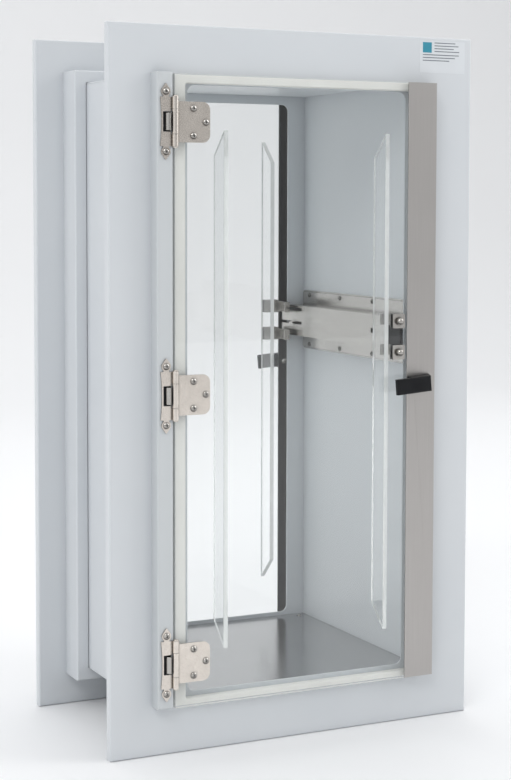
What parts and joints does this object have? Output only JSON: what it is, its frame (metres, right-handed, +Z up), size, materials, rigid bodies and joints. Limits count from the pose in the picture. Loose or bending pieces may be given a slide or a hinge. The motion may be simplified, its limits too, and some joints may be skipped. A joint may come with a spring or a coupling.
{
  "type": "cleanroom pass-through cabinet",
  "caption": "Wall pass-through cabinet with a clear hinged door at each end, a front wall flange, a sliding trim flange and a door interlock on the inner wall",
  "frame": {"origin": "middle of the cabinet's underside footprint, at the level the flanges stand on", "axes": "+Z up; +Y through the wall from the front door to the rear door; +X to the right of a person facing the front door, hinges on -X"},
  "size_m": [0.419, 0.3446, 0.737],
  "materials": {
    "painted_steel": "fine powder coat, pale blue-grey white",
    "stainless_steel": "brushed stainless",
    "bright_steel": "bright turned and stamped steel",
    "nickel_plate": "satin nickel plate",
    "clear_acrylic": "clear polished acrylic",
    "seal_rubber": "off-white closed-cell seal",
    "black_plastic": "black moulded plastic"
  },
  "bodies": {
    "cabinet": {"front_flange": "painted_steel", "rear_frame": "painted_steel", "left_skin": "painted_steel", "right_skin": "painted_steel", "top_panel": "painted_steel", "bottom_skin": "painted_steel", "left_liner": "painted_steel", "right_liner": "painted_steel", "floor_plate": "stainless_steel", "floor_screws": "bright_steel", "interlock_back_plate": "stainless_steel", "interlock_cover": "stainless_steel", "interlock_screws": "bright_steel", "interlock_guide_blocks": "black_plastic", "interlock_springs": "bright_steel", "front_hinge_stile": "painted_steel", "front_gasket": "seal_rubber", "front_magnet_strip": "black_plastic", "front_hinge_pins": "nickel_plate", "front_hinge_springs": "nickel_plate", "front_frame_leaf_screws": "bright_steel", "front_upper_frame_leaf": "nickel_plate", "front_middle_frame_leaf": "nickel_plate", "front_lower_frame_leaf": "nickel_plate", "rear_hinge_stile": "painted_steel", "rear_gasket": "seal_rubber", "rear_magnet_strip": "black_plastic", "rear_hinge_pins": "nickel_plate", "rear_hinge_springs": "nickel_plate", "rear_frame_leaf_screws": "bright_steel", "rear_upper_frame_leaf": "nickel_plate", "rear_middle_frame_leaf": "nickel_plate", "rear_lower_frame_leaf": "nickel_plate"},
    "front_door": {"front_upper_door_leaf": "nickel_plate", "front_middle_door_leaf": "nickel_plate", "front_lower_door_leaf": "nickel_plate", "front_door_panel": "clear_acrylic", "front_door_ribs": "clear_acrylic", "front_edge_strip": "stainless_steel", "front_pull": "black_plastic", "front_pull_screw": "bright_steel", "front_door_leaf_screws": "bright_steel", "front_strikes": "stainless_steel", "front_strike_bolts": "bright_steel"},
    "rear_door": {"rear_upper_door_leaf": "nickel_plate", "rear_middle_door_leaf": "nickel_plate", "rear_lower_door_leaf": "nickel_plate", "rear_door_panel": "clear_acrylic", "rear_door_ribs": "clear_acrylic", "rear_edge_strip": "stainless_steel", "rear_pull": "black_plastic", "rear_pull_screw": "bright_steel", "rear_door_leaf_screws": "bright_steel", "rear_strikes": "stainless_steel", "rear_strike_bolts": "bright_steel"},
    "wall_flange": {"trim_flange": "painted_steel", "trim_collar": "painted_steel"},
    "interlock_bar": {"interlock_slide_bar": "bright_steel"}
  },
  "joints": [
    {"name": "front_door_hinge", "type": "hinge", "parent": "cabinet", "child": "front_door", "pos_m": [-0.1464, -0.1577, 0.3685], "axis": [0, 0, -1], "range_deg": [0, 110], "stiffness_Nm_per_rad": 0.4},
    {"name": "rear_door_hinge", "type": "hinge", "parent": "cabinet", "child": "rear_door", "pos_m": [-0.1464, 0.1577, 0.3685], "axis": [0, 0, 1], "range_deg": [0, 110], "stiffness_Nm_per_rad": 0.4},
    {"name": "trim_slide", "type": "slide", "parent": "cabinet", "child": "wall_flange", "axis": [0, 1, 0], "range_m": [-0.1, 0.035]},
    {"name": "interlock_slide", "type": "slide", "parent": "cabinet", "child": "interlock_bar", "axis": [0, 1, 0], "range_m": [-0.008, 0.008], "stiffness_N_per_m": 300}
  ]
}
